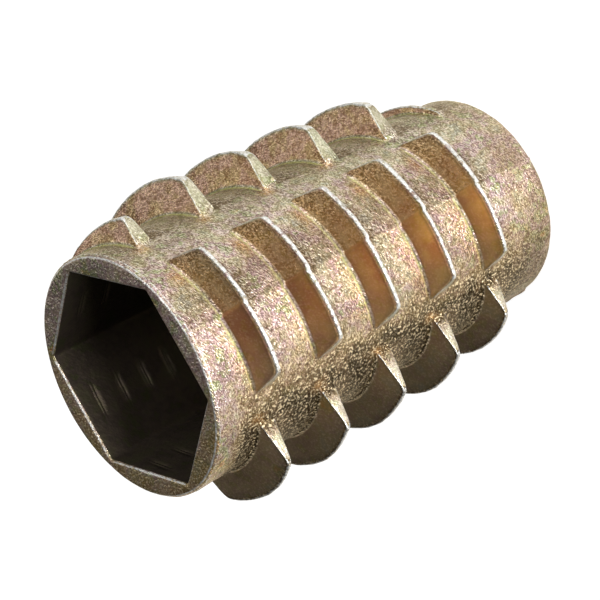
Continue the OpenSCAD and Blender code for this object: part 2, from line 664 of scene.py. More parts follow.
# --------------------------------------------------------------------------- mesh
class MeshParts:
    """Collects points and faces for one mesh."""

    SNAP = 0.02  # a helix line joins an end ring that is as near as this, in millimetres

    def __init__(self) -> None:
        """Starts with no points and no faces."""
        self.points: list[np.ndarray] = []
        self.marks: list[np.ndarray] = []
        self.faces: list[tuple[int, ...]] = []
        self.finishes: list[int] = []
        self.finish = Finish.CAST
        self.count = 0

    def add_points(self, points: np.ndarray, marks: np.ndarray | None = None) -> np.ndarray:
        """Adds points.

        Args:
            points: the points, one a row.
            marks: their marks, or None where they have none.

        Returns:
            The points' numbers.
        """
        numbers = np.arange(self.count, self.count + len(points))
        self.points.append(points)
        self.marks.append(np.zeros((len(points), len(Mark))) if marks is None else marks)
        self.count += len(points)
        return numbers

    def add_face(self, *corners: int) -> None:
        """Adds a face with the finish that is set."""
        self.faces.append(tuple(int(c) for c in corners))
        self.finishes.append(self.finish.value)

    def add_ring(self, theta: np.ndarray, radius: np.ndarray | float, depth: float) -> np.ndarray:
        """Adds a ring of points.

        Args:
            theta: their directions in degrees.
            radius: their radius, or one for each.
            depth: distance from the key end.

        Returns:
            The points' numbers.
        """
        angle = np.radians(theta)
        down = np.full(theta.shape, -depth)
        return self.add_points(np.stack([radius * np.cos(angle), radius * np.sin(angle), down], -1))

    def bridge(self, first: np.ndarray, second: np.ndarray) -> None:
        """Joins two rings with as many points each.

        Args:
            first: numbers of the first ring's points.
            second: numbers of the second ring's points.
        """
        for k in range(len(first)):
            n = (k + 1) % len(first)
            self.add_face(first[k], first[n], second[n], second[k])

    def add_next(self, ring: np.ndarray, theta: np.ndarray, radius: np.ndarray | float,
                 depth: float) -> np.ndarray:
        """Adds a ring and joins it to the one before it.

        Args:
            ring: numbers of the ring before it.
            theta: directions of its points in degrees.
            radius: their radius, or one for each.
            depth: distance from the key end.

        Returns:
            The points' numbers.
        """
        after = self.add_ring(theta, radius, depth)
        self.bridge(ring, after)
        return after

    def zip_rings(self, first: np.ndarray, turn_a: np.ndarray, second: np.ndarray,
                  turn_b: np.ndarray) -> None:
        """Joins two rings with different numbers of points by triangles.

        Args:
            first: numbers of the first ring's points.
            turn_a: their turns, rising from 0.
            second: numbers of the second ring's points.
            turn_b: their turns, rising from 0.
        """
        a, b = 0, 0
        while a < len(first) or b < len(second):
            next_a = turn_a[a + 1] if a + 1 < len(first) else TURN + turn_a[0]
            next_b = turn_b[b + 1] if b + 1 < len(second) else TURN + turn_b[0]
            if b >= len(second) or (a < len(first) and next_a <= next_b):
                self.add_face(first[a], first[(a + 1) % len(first)], second[b % len(second)])
                a += 1
            else:
                self.add_face(first[a % len(first)], second[(b + 1) % len(second)], second[b])
                b += 1

    def add_helix(self, turns: np.ndarray, section: np.ndarray, low: float, high: float,
                  rings: Rings, marks: np.ndarray | None = None) -> None:
        """Adds a skin whose lines follow a helix between two rings.

        Args:
            turns: the columns' turns within one turn.
            section: depth and radius of each line, as [wrap, column, line, 2].
            low: depth of the first ring.
            high: depth of the second ring.
            rings: numbers of the two rings' points.
            marks: marks of each point, as [wrap, column, line, mark].
        """
        wraps, columns, lines = section.shape[:3]
        theta = -np.radians(turns)[None, :, None]
        depth, radius = section[..., 0], section[..., 1]
        above, below = depth <= low + self.SNAP, depth >= high - self.SNAP
        inside = ~(above | below)
        place = np.stack([radius * np.cos(theta), radius * np.sin(theta), -depth], -1)
        number = np.full(depth.shape, -1)
        number[inside] = self.add_points(place[inside], None if marks is None else marks[inside])
        number = np.where(above, rings[0][None, :, None], number)
        number = np.where(below, rings[1][None, :, None], number)
        grid = number.transpose(1, 0, 2).reshape(columns, wraps * lines)
        last = np.concatenate([grid[0, lines:], np.full(lines, rings[1][0])])
        grid = np.vstack([grid, last])
        for j in range(columns):
            near, far = grid[j], grid[j + 1]
            for m in range(wraps * lines - 1):
                face = []
                for corner in (near[m], far[m], far[m + 1], near[m + 1]):
                    if corner not in face:
                        face.append(int(corner))
                if len(face) > 2:
                    self.add_face(*face)

    def to_mesh(self, name: str, lift: float) -> bpy.types.Mesh:
        """Makes a mesh of what was collected.

        Args:
            name: the mesh's name.
            lift: height in millimetres by which all points are raised.

        Returns:
            The mesh, in metres, with its marks as attributes and its finishes as slots.
        """
        points = np.concatenate(self.points)
        points[:, 2] += lift
        mesh = bpy.data.meshes.new(name)
        mesh.from_pydata((points * MM).tolist(), [], self.faces)
        mesh.polygons.foreach_set("material_index", self.finishes)
        marks = np.concatenate(self.marks)
        for mark in Mark:
            write_attribute(mesh, mark.name.lower(), marks[:, mark.value])
        shell = bmesh.new()
        shell.from_mesh(mesh)
        bmesh.ops.recalc_face_normals(shell, faces=shell.faces)
        shell.to_mesh(mesh)
        shell.free()
        mesh.update()
        return mesh


# --------------------------------------------------------------------------- finishes
Colour = tuple[float, float, float]
Socket = bpy.types.NodeSocket


@dataclass(frozen=True)
class Coat:
    """A colour that is laid over others, and how strongly it covers them."""

    colour: Colour
    strength: float


class NodeSheet:
    """A node tree with short calls that add and join nodes."""

    def __init__(self, tree: bpy.types.NodeTree) -> None:
        """Takes the tree that it writes on."""
        self.tree = tree

    def fill(self, node: bpy.types.Node, inputs: dict) -> None:
        """Gives a node its inputs: a socket is linked, and a plain value is set.

        Args:
            node: the node.
            inputs: values or output sockets for its inputs, by name or number.
        """
        for key, value in inputs.items():
            socket = node.inputs[key]
            if isinstance(value, Socket):
                self.tree.links.new(value, socket)
            elif isinstance(value, tuple) and len(value) == 3 and socket.type == "RGBA":
                socket.default_value = (*value, 1.0)
            else:
                socket.default_value = value

    def add(self, kind: str, inputs: dict | None = None, **settings: object) -> bpy.types.Node:
        """Adds a node.

        Args:
            kind: the node's type, without its ShaderNode prefix.
            inputs: values or output sockets for its inputs, by name or number.
            settings: values for its properties.

        Returns:
            The node.
        """
        node = self.tree.nodes.new("ShaderNode" + kind)
        for name, value in settings.items():
            setattr(node, name, value)
        self.fill(node, inputs or {})
        return node

    def math(self, operation: str, *values: object, clamp: bool = False) -> Socket:
        """Returns the result of a Math node."""
        return self.add("Math", dict(enumerate(values)), operation=operation, use_clamp=clamp).outputs[0]

    def times(self, a: object, b: object, clamp: bool = False) -> Socket:
        """Returns a product."""
        return self.math("MULTIPLY", a, b, clamp=clamp)

    def plus(self, a: object, b: object, clamp: bool = False) -> Socket:
        """Returns a sum."""
        return self.math("ADD", a, b, clamp=clamp)

    def less(self, a: object, b: object, clamp: bool = False) -> Socket:
        """Returns a difference."""
        return self.math("SUBTRACT", a, b, clamp=clamp)

    def rest(self, value: object) -> Socket:
        """Returns what is left of 1."""
        return self.math("SUBTRACT", 1.0, value)

    def most(self, a: object, b: object) -> Socket:
        """Returns the larger of two values."""
        return self.math("MAXIMUM", a, b)

    def mix(self, factor: object, a: object, b: object, blend: str = "MIX") -> Socket:
        """Mixes two colours.

        Args:
            factor: share of the second one.
            a: the first colour.
            b: the second colour.
            blend: how the second is laid on.

        Returns:
            The mixed colour.
        """
        # The node has sockets for each kind of data: these are the ones for colours.
        node = self.add("Mix", {0: factor, 6: a, 7: b}, data_type="RGBA", blend_type=blend)
        return node.outputs[2]

    def lay(self, coat: Coat, mask: object, colour: object) -> Socket:
        """Returns a colour with a coat laid over it where the mask is 1."""
        return self.mix(self.times(mask, coat.strength), colour, coat.colour)

    def ramp(self, factor: object, stops: list[tuple[float, Colour]]) -> Socket:
        """Reads a colour from a ramp.

        Args:
            factor: place on the ramp.
            stops: place and colour of each stop, rising.

        Returns:
            The colour.
        """
        node = self.add("ValToRGB", {0: factor})
        band = node.color_ramp.elements
        while len(band) < len(stops):
            band.new(0.5)
        for element, (place, colour) in zip(band, stops):
            element.position = place
            element.color = (*colour, 1.0)
        return node.outputs[0]

    def range(self, value: object, low: float, high: float, to_low: float = 0.0,
              to_high: float = 1.0) -> Socket:
        """Moves a value smoothly from one range into another, and keeps it inside.

        Args:
            value: the value.
            low: what becomes to_low.
            high: what becomes to_high.
            to_low: first end of the new range.
            to_high: its other end.

        Returns:
            The moved value.
        """
        node = self.add("MapRange", {0: value, 1: low, 2: high, 3: to_low, 4: to_high},
                        interpolation_type="SMOOTHSTEP")
        return node.outputs[0]

    def millimetres(self) -> Socket:
        """Returns the object's own coordinates in millimetres."""
        own = self.add("TexCoord").outputs["Object"]
        return self.add("VectorMath", {0: own, 1: (1 / MM,) * 3}, operation="MULTIPLY").outputs[0]

    def noise(self, vector: object, scale: float, detail: float = 2.0,
              rough: float = 0.5) -> Socket:
        """Returns a noise value, about 0 to 1."""
        return self.add("TexNoise", {"Vector": vector, "Scale": scale, "Detail": detail,
                                     "Roughness": rough}).outputs[0]

    def attribute(self, name: str) -> Socket:
        """Returns a value that the mesh's points carry."""
        return self.add("Attribute", attribute_name=name).outputs["Fac"]

    def bump(self, height: object, strength: float, depth: float) -> Socket:
        """Returns the normal of a bump whose depth is in millimetres."""
        return self.add("Bump", {"Height": height, "Strength": strength,
                                 "Distance": depth * MM}).outputs[0]


class SurfaceGroups:
    """The node groups that the finishes share, each built once."""

    def __init__(self) -> None:
        """Builds the groups."""
        self.grain = self._grain()
        self.film = self._film()
        self.wear = self._wear()

    @staticmethod
    def _open(name: str, inputs: dict[str, float], outputs: dict[str, str]) -> tuple:
        """Starts a group.

        Args:
            name: the group's name.
            inputs: default value by input name, all of them plain numbers.
            outputs: kind of socket by output name, Float or Color.

        Returns:
            The group's sheet, its inputs' sockets and its output node.
        """
        group = bpy.data.node_groups.new(name, "ShaderNodeTree")
        for label, value in inputs.items():
            socket = group.interface.new_socket(label, in_out="INPUT", socket_type="NodeSocketFloat")
            socket.default_value = value
        for label, kind in outputs.items():
            group.interface.new_socket(label, in_out="OUTPUT", socket_type="NodeSocket" + kind)
        given = group.nodes.new("NodeGroupInput").outputs
        return NodeSheet(group), given, group.nodes.new("NodeGroupOutput")

    def _grain(self) -> bpy.types.NodeTree:
        """Builds the pebbled grain that the die leaves on the zinc.

        Returns:
            The group: a height for a bump, and masks of hollows, peaks and specks.
        """
        sheet, given, out = self._open(
            "cast_grain", {"Size": 0.15, "Stretch": 1.0},
            {"Height": "Float", "Hollows": "Float", "Peaks": "Float", "Specks": "Float"})
        place = sheet.millimetres()
        apart = sheet.add("SeparateXYZ", {0: place}).outputs
        across = sheet.times(sheet.less(apart[2], sheet.times(apart[1], 0.4)), given["Stretch"])
        drawn = sheet.add("CombineXYZ", {0: apart[0], 1: apart[1], 2: across}).outputs[0]
        scale = sheet.math("DIVIDE", 1.0, given["Size"])
        fine = sheet.noise(drawn, scale, 2.0, 0.6)
        broad = sheet.noise(place, sheet.times(scale, 0.3))
        pebbles = sheet.add("TexVoronoi", {"Vector": place, "Scale": scale},
                            feature="SMOOTH_F1").outputs["Distance"]
        height = sheet.plus(sheet.less(fine, sheet.times(pebbles, 0.45)), sheet.times(broad, 0.8))
        relief = sheet.plus(fine, sheet.times(broad, 0.35))
        sway = sheet.add("TexNoise", {"Vector": place, "Scale": 4.0}).outputs[1]
        bent = sheet.add("VectorMath", {0: drawn, 1: sway}, operation="ADD").outputs[0]
        gaps = sheet.add("TexVoronoi", {"Vector": bent, "Scale": sheet.times(scale, 0.5)},
                         feature="DISTANCE_TO_EDGE").outputs["Distance"]
        wrinkles = sheet.range(gaps, 0.14, 0.03)
        dips = sheet.times(sheet.range(relief, 0.68, 0.57), 0.7)
        crumbs = sheet.noise(place, sheet.times(scale, 1.15), 2.0, 0.6)
        sheet.fill(out, {
            "Height": height,
            "Hollows": sheet.most(wrinkles, dips),
            "Peaks": sheet.range(relief, 0.71, 0.79),
            "Specks": sheet.range(crumbs, 0.54, 0.61),
        })
        return sheet.tree

    def _film(self) -> bpy.types.NodeTree:
        """Builds the interference colours of the yellow chromate film.

        Returns:
            The group, which shifts through the colours with the thickness.
        """
        sheet, given, out = self._open("chromate_film", {"Thickness": 0.4, "Mottle": 2.2},
                                       {"Color": "Color"})
        place = sheet.millimetres()
        broad = sheet.noise(place, 0.35, 2.0, 0.5)
        middle = sheet.noise(place, 1.3, 2.0, 0.6)
        small = sheet.noise(place, 5.0, 2.0, 0.6)
        mixed = sheet.plus(sheet.times(broad, 0.34), sheet.times(middle, 0.50))
        mixed = sheet.plus(mixed, sheet.times(small, 0.16))
        swing = sheet.times(sheet.less(mixed, 0.5), given["Mottle"])
        colour = sheet.ramp(sheet.plus(given["Thickness"], swing), [
            (0.00, (0.72, 0.73, 0.62)), (0.20, (0.73, 0.67, 0.44)), (0.32, (0.74, 0.61, 0.46)),
            (0.43, (0.75, 0.55, 0.52)), (0.53, (0.57, 0.40, 0.44)), (0.62, (0.52, 0.50, 0.31)),
            (0.72, (0.39, 0.47, 0.24)), (0.84, (0.72, 0.54, 0.19)), (0.95, (0.70, 0.31, 0.10)),
        ])
        sheet.fill(out, {"Color": colour})
        return sheet.tree

    def _wear(self) -> bpy.types.NodeTree:
        """Builds the mask of edges rubbed down to bare zinc.

        Returns:
            The group, whose mask is ragged where it ends.
        """
        sheet, given, out = self._open("rubbed_edge", {"Edge": 0.0, "Amount": 0.5}, {"Mask": "Float"})
        ragged = sheet.less(sheet.noise(sheet.millimetres(), 6.0, 3.0, 0.6), 0.5)
        level = sheet.plus(given["Edge"], sheet.times(ragged, 0.9))
        cut = sheet.rest(given["Amount"])
        sheet.fill(out, {"Mask": sheet.range(level, cut, sheet.plus(cut, 0.25))})
        return sheet.tree


def start_material(name: str) -> tuple[bpy.types.Material, NodeSheet, bpy.types.Node]:
    """Makes a material.

    Args:
        name: its name.

    Returns:
        The material, its sheet and its Principled BSDF.
    """
    material = bpy.data.materials.new(name)
    material.use_nodes = True
    return material, NodeSheet(material.node_tree), material.node_tree.nodes["Principled BSDF"]


@dataclass(frozen=True)
class Blotches:
    """Blotches cut from a noise: its lumps in a millimetre, and where they begin and are full."""

    scale: float
    low: float
    high: float

    def mask(self, sheet: NodeSheet, place: object, lean: object | None = None) -> Socket:
        """Cuts the blotches out.

        Args:
            sheet: the sheet to write on.
            place: coordinates in millimetres.
            lean: a value that makes the blotches fuller where it is high.

        Returns:
            Their mask.
        """
        value = sheet.noise(place, self.scale, 3.0)
        if lean is not None:
            value = sheet.plus(lean, value)
        return sheet.range(value, self.low, self.high)


class SkinSheet(NodeSheet):
    """The cast skin's sheet, with the values that the casting's points carry."""

    def __init__(self, tree: bpy.types.NodeTree) -> None:
        """Reads the points' values and places.

        Args:
            tree: the tree that it writes on.
        """
        super().__init__(tree)
        self.marks = {mark: self.attribute(mark.name.lower()) for mark in Mark}
        self.edge, self.tone, self.painted_shade, self.green, self.rim = (
            self.attribute(name) for name in ("edge", "tone", "painted_shade", "green", "rim"))
        self.place = self.millimetres()
        self.up = self.add("SeparateXYZ", {0: self.place}).outputs[2]


@dataclass(frozen=True)
class FlankFilm:
    """The flanks that face the key end: a browner film, made more orange by painted light reflected from
    the band beside them.
    """

    # partly the film's colour, partly painted light reflected from the band
    gold: Colour = (0.98, 0.56, 0.14)
    red: Colour = (0.70, 0.27, 0.06)
    low: Colour = (0.21, 0.085, 0.025)
    coarse: Colour = (0.74, 0.56, 0.31)
    dark: Colour = (0.40, 0.27, 0.10)
    # colour of the flanks on the side painted in shade
    painted_shade: Colour = (0.56, 0.37, 0.17)
    pink: Colour = (1.0, 0.62, 0.49)
    olive: Colour = (0.86, 0.60, 0.30)
    pit: Colour = (0.46, 0.20, 0.09)
    # painted shade under the crest
    crest_shade: Colour = (0.05, 0.045, 0.03)
    reds: Blotches = Blotches(0.9, 0.40, 0.62)
    darks: Blotches = Blotches(2.6, 0.42, 0.56)
    olives: Blotches = Blotches(1.1, 0.45, 0.60)
    pit_scale: float = 4.5
    pitted: tuple = (0.46, 0.60, 0.0, 0.7)
    deep: tuple = (5.0, 18.0, 0.0, 0.8)
    coarse_gain: float = 1.5
    # where the painted shade under the crest lies, and how strong it is, most on the low side
    painted_dark: tuple = (0.55, 1.0)
    shade_cover: float = 0.8
    shade_gain: float = 3.0
    under_crest: tuple = (0.74, 0.95, 0.0, 0.8)

    def colour(self, sheet: SkinSheet) -> Socket:
        """Mixes the flanks' colour: gold in front, darker towards the foot and the key end, darker
        with painted shade on the coarse side and on the low side, pink and pitted above, and
        painted shade under the crest.

        Args:
            sheet: the sheet to write on.

        Returns:
            The colour.
        """
        place, rise = sheet.place, sheet.marks[Mark.RISE]
        flank = sheet.mix(self.reds.mask(sheet, place), self.gold, self.red)
        flank = sheet.mix(rise, self.low, flank)
        flank = sheet.mix(sheet.range(sheet.up, *self.deep), flank, self.low)
        # Partly painted shade: on the coarse side the flanks are darker.
        coarse = sheet.mix(self.darks.mask(sheet, place), self.coarse, self.dark)
        flank = sheet.mix(sheet.times(sheet.tone, self.coarse_gain, clamp=True), flank, coarse)
        # Painted shade: the flanks on the low side are darker.
        flank = sheet.mix(sheet.painted_shade, flank, self.painted_shade)
        patched = sheet.mix(self.olives.mask(sheet, place), self.pink, self.olive)
        pits = sheet.range(sheet.noise(place, self.pit_scale, 3.0, 0.6), *self.pitted)
        flank = sheet.mix(sheet.green, flank, sheet.mix(pits, patched, self.pit))
        # Painted shade: the flank is darkened just under the crest, most on the low side.
        painted_dark = sheet.times(sheet.range(rise, *self.painted_dark), self.shade_cover)
        painted_dark = sheet.times(painted_dark, sheet.times(sheet.painted_shade, self.shade_gain, clamp=True))
        under_crest = sheet.times(sheet.range(rise, *self.under_crest), sheet.rest(sheet.green))
        return sheet.mix(sheet.most(painted_dark, under_crest), flank, self.crest_shade)


@dataclass(frozen=True)
class CastSkin:
    """Rough die-cast zinc under a thin yellow chromate film, rubbed bright on its edges, with
    painted shade and painted glints.
    """

    flank: FlankFilm = FlankFilm()
    green: Coat = Coat((0.43, 0.465, 0.24), 0.65)
    # painted shade on the rim's face
    rim: Coat = Coat((0.14, 0.13, 0.075), 0.42)
    foot: Coat = Coat((0.50, 0.50, 0.13), 0.7)
    end: Coat = Coat((0.62, 0.60, 0.43), 0.7)
    # painted shade beside the parting lines
    parting_shade: Coat = Coat((0.22, 0.15, 0.08), 0.6)
    # painted shade on the low side: brown, and near black where deepest
    side_shade: Coat = Coat((0.46, 0.30, 0.12), 0.8)
    deep_side_shade: Coat = Coat((0.045, 0.030, 0.010), 0.95)
    # painted shade on the band behind the fins
    lee: Coat = Coat((0.22, 0.15, 0.08), 0.9)
    pool: Coat = Coat((0.86, 0.50, 0.20), 0.7)
    # painted glints on the painted shade of the low side
    painted_glint: Coat = Coat((0.95, 0.78, 0.50), 0.9)
    bare: Colour = (0.74, 0.74, 0.71)
    hollow: Colour = (0.27, 0.22, 0.17)
    # painted glints on the grain's peaks, warmer on the flanks
    peak_glint: Colour = (0.88, 0.79, 0.65)
    flank_peak_glint: Colour = (1.0, 0.74, 0.46)
    glint: Colour = (0.84, 0.75, 0.60)
    # blotches of painted shade beside the parting lines
    parting_shade_blotches: Blotches = Blotches(1.2, 0.55, 1.5)
    # blotches of painted shade behind the fins
    fin_shade_blotches: Blotches = Blotches(2.0, 0.7, 1.5)
    # where the painted shade on the low side lies
    side_shade_scale: float = 1.6
    side_shaded: tuple = (0.5, 1.15)
    deep_side_shaded: tuple = (0.9, 1.5)
    tip_strip: tuple = (0.8, 2.8)
    thickness: float = 0.40
    rim_thickness: float = 0.14
    mottle: float = 3.2
    grain_size: float = 0.115
    grain_stretch: float = 2.2
    grain_depth: float = 0.04
    coarse_tone: float = 1.6
    coarse_green: float = 0.85
    flank_cover: float = 0.9
    thin_green: float = 0.1
    thin_dull: float = 0.3
    # how strongly the painted glints cover the grain's peaks
    peak_glint_cover: float = 0.6
    calm_flank: float = 0.85
    calm_end: float = 0.35
    calm_foot: float = 0.6
    rubbed: float = 0.20
    metallic: float = 0.8
    roughness: float = 0.32

    def material(self, groups: SurfaceGroups) -> bpy.types.Material:
        """Builds the material.

        Args:
            groups: the shared node groups.

        Returns:
            The material.
        """
        material, plain, shader = start_material("chromated_zinc")
        sheet = SkinSheet(plain.tree)
        marks = sheet.marks
        grain = sheet.add("Group", {"Size": self.grain_size, "Stretch": self.grain_stretch},
                          node_tree=groups.grain).outputs
        coarse = sheet.plus(sheet.times(sheet.tone, self.coarse_tone),
                            sheet.times(sheet.green, self.coarse_green), clamp=True)
        smooth = sheet.times(marks[Mark.FLANK], sheet.rest(coarse))
        calm = sheet.less(sheet.rest(sheet.times(smooth, self.calm_flank)),
                          sheet.times(marks[Mark.END], self.calm_end))
        calm = sheet.less(calm, sheet.times(marks[Mark.FOOT], self.calm_foot), clamp=True)

        colour, side_shade, deep_side_shade = self._shade_and_pools(sheet, self._film(sheet, groups))
        kept = sheet.plus(sheet.times(smooth, 0.6), sheet.times(sheet.rim, 0.5))
        hollows = sheet.times(sheet.times(grain["Hollows"], calm), sheet.rest(kept))
        colour = sheet.mix(hollows, colour, self.hollow, blend="MULTIPLY")
        # Painted glints: the grain's peaks are lightened.
        peaks = sheet.times(grain["Peaks"], calm)
        peaks = sheet.times(peaks, sheet.rest(sheet.times(side_shade, 0.9)))
        shine = sheet.mix(marks[Mark.FLANK], self.peak_glint, self.flank_peak_glint)
        colour = sheet.mix(sheet.times(peaks, self.peak_glint_cover), colour, shine)
        # Painted glints: bright specks on the painted shade of the low side.
        painted_glints = sheet.times(grain["Specks"], side_shade)
        painted_glints = sheet.times(painted_glints, sheet.range(sheet.up, *self.tip_strip, 0.5, 1.0))
        colour = sheet.lay(self.painted_glint, painted_glints, colour)
        wear = sheet.add("Group", {"Edge": sheet.most(sheet.edge, marks[Mark.CREST]),
                                   "Amount": self.rubbed}, node_tree=groups.wear)
        colour = sheet.mix(wear.outputs["Mask"], colour, self.bare)

        rough = sheet.plus(self.roughness, sheet.times(hollows, 0.15))
        rough = sheet.less(rough, sheet.times(peaks, 0.1))
        rough = sheet.plus(rough, sheet.times(marks[Mark.FOOT], 0.3))
        height = sheet.times(grain["Height"], calm)
        height = sheet.times(height, sheet.plus(sheet.times(deep_side_shade, 0.8), 1.0))
        sheet.fill(shader, {
            "Base Color": colour, "Roughness": rough, "Metallic": self.metallic,
            "Specular Tint": self.glint, "Normal": sheet.bump(height, 1.0, self.grain_depth),
        })
        return material

    def _film(self, sheet: SkinSheet, groups: SurfaceGroups) -> Socket:
        """Mixes the film's colour on the band, the rim, the flanks and the fins' ends.

        Args:
            sheet: the sheet to write on.
            groups: the shared node groups.

        Returns:
            The colour.
        """
        thickness = sheet.plus(sheet.times(sheet.rim, self.rim_thickness), self.thickness)
        film = sheet.add("Group", {"Thickness": thickness, "Mottle": self.mottle},
                         node_tree=groups.film)
        # Partly painted shade: the olive side is darker as well as greener.
        colour = sheet.lay(self.green, sheet.green, film.outputs["Color"])
        # Painted shade: the rim's face is darkened.
        colour = sheet.lay(self.rim, sheet.rim, colour)
        thinner = sheet.most(sheet.times(sheet.green, self.thin_green),
                             sheet.times(sheet.painted_shade, self.thin_dull))
        cover = sheet.times(sheet.marks[Mark.FLANK], sheet.less(self.flank_cover, thinner))
        colour = sheet.mix(cover, colour, self.flank.colour(sheet))
        colour = sheet.lay(self.foot, sheet.marks[Mark.FOOT], colour)
        return sheet.lay(self.end, sheet.marks[Mark.END], colour)

    def _shade_and_pools(self, sheet: SkinSheet, colour: Socket) -> tuple[Socket, Socket, Socket]:
        """Lays on painted shade, beside the parting lines, on the low side and towards the tip, and
        behind the fins, and the orange pools at the fins' ends; less of it on flanks and ends.

        Args:
            sheet: the sheet to write on.
            colour: the film's colour.

        Returns:
            The colour, and the masks of the two painted shades on the low side.
        """
        marks = sheet.marks
        open_skin = sheet.rest(sheet.most(sheet.times(marks[Mark.FLANK], 0.7), marks[Mark.END]))
        # Painted shade beside the parting lines, in blotches.
        parting_shade = sheet.times(self.parting_shade_blotches.mask(sheet, sheet.place, sheet.tone), open_skin)
        # Painted shade on the low side and towards the tip: brown, and near black where deepest.
        shade_level = sheet.plus(sheet.painted_shade, sheet.noise(sheet.place, self.side_shade_scale, 3.0))
        open_skin = sheet.times(open_skin, sheet.range(sheet.up, *self.tip_strip, 0.6, 1.0))
        side_shade = sheet.times(sheet.range(shade_level, *self.side_shaded), open_skin)
        deep_side_shade = sheet.times(sheet.range(shade_level, *self.deep_side_shaded), open_skin)
        # Painted shade on the band behind the fins, in blotches.
        lee = self.fin_shade_blotches.mask(sheet, sheet.place, marks[Mark.LEE])
        for coat, mask in ((self.parting_shade, parting_shade), (self.side_shade, side_shade), (self.deep_side_shade, deep_side_shade),
                           (self.lee, lee), (self.pool, marks[Mark.POOL])):
            colour = sheet.lay(coat, mask, colour)
        return colour, side_shade, deep_side_shade


@dataclass(frozen=True)
class SocketWall:
    """The socket's walls: drawn smooth by the core pin, and painted near black for the shade inside the
    socket.
    """

    # near-black painted shade for the inside of the socket
    tint: Colour = (0.035, 0.030, 0.015)
    lip: Colour = (0.72, 0.68, 0.56)
    glint: Colour = (0.32, 0.26, 0.14)
    cover: float = 0.93
    rubbed: float = 0.4
    grain_size: float = 0.2
    grain_depth: float = 0.04
    metallic: float = 0.75
    roughness: float = 0.42

    def material(self, groups: SurfaceGroups) -> bpy.types.Material:
        """Builds the material.

        Args:
            groups: the shared node groups.

        Returns:
            The material.
        """
        material, sheet, shader = start_material("socket_wall")
        film = sheet.add("Group", node_tree=groups.film).outputs["Color"]
        grain = sheet.add("Group", {"Size": self.grain_size}, node_tree=groups.grain)
        wear = sheet.add("Group", {"Edge": sheet.attribute("edge"), "Amount": self.rubbed},
                         node_tree=groups.wear)
        # Painted shade: the film is almost wholly covered by the near-black tint.
        colour = sheet.mix(self.cover, film, self.tint)
        colour = sheet.mix(wear.outputs["Mask"], colour, self.lip)
        sheet.fill(shader, {
            "Base Color": colour, "Roughness": self.roughness, "Metallic": self.metallic,
            "Specular Tint": self.glint,
            "Normal": sheet.bump(grain.outputs["Height"], 0.6, self.grain_depth),
        })
        return material


@dataclass(frozen=True)
class TappedWall:
    """The screw thread, cut after casting and chromated on the cut."""

    tint: Colour = (0.50, 0.40, 0.22)
    cover: float = 0.5
    grain_size: float = 0.3
    grain_depth: float = 0.02
    metallic: float = 1.0
    roughness: float = 0.32

    def material(self, groups: SurfaceGroups) -> bpy.types.Material:
        """Builds the material.

        Args:
            groups: the shared node groups.

        Returns:
            The material.
        """
        material, sheet, shader = start_material("tapped_wall")
        film = sheet.add("Group", node_tree=groups.film).outputs["Color"]
        grain = sheet.add("Group", {"Size": self.grain_size}, node_tree=groups.grain)
        sheet.fill(shader, {
            "Base Color": sheet.mix(self.cover, film, self.tint),
            "Roughness": self.roughness, "Metallic": self.metallic,
            "Normal": sheet.bump(grain.outputs["Height"], 0.4, self.grain_depth),
        })
        return material


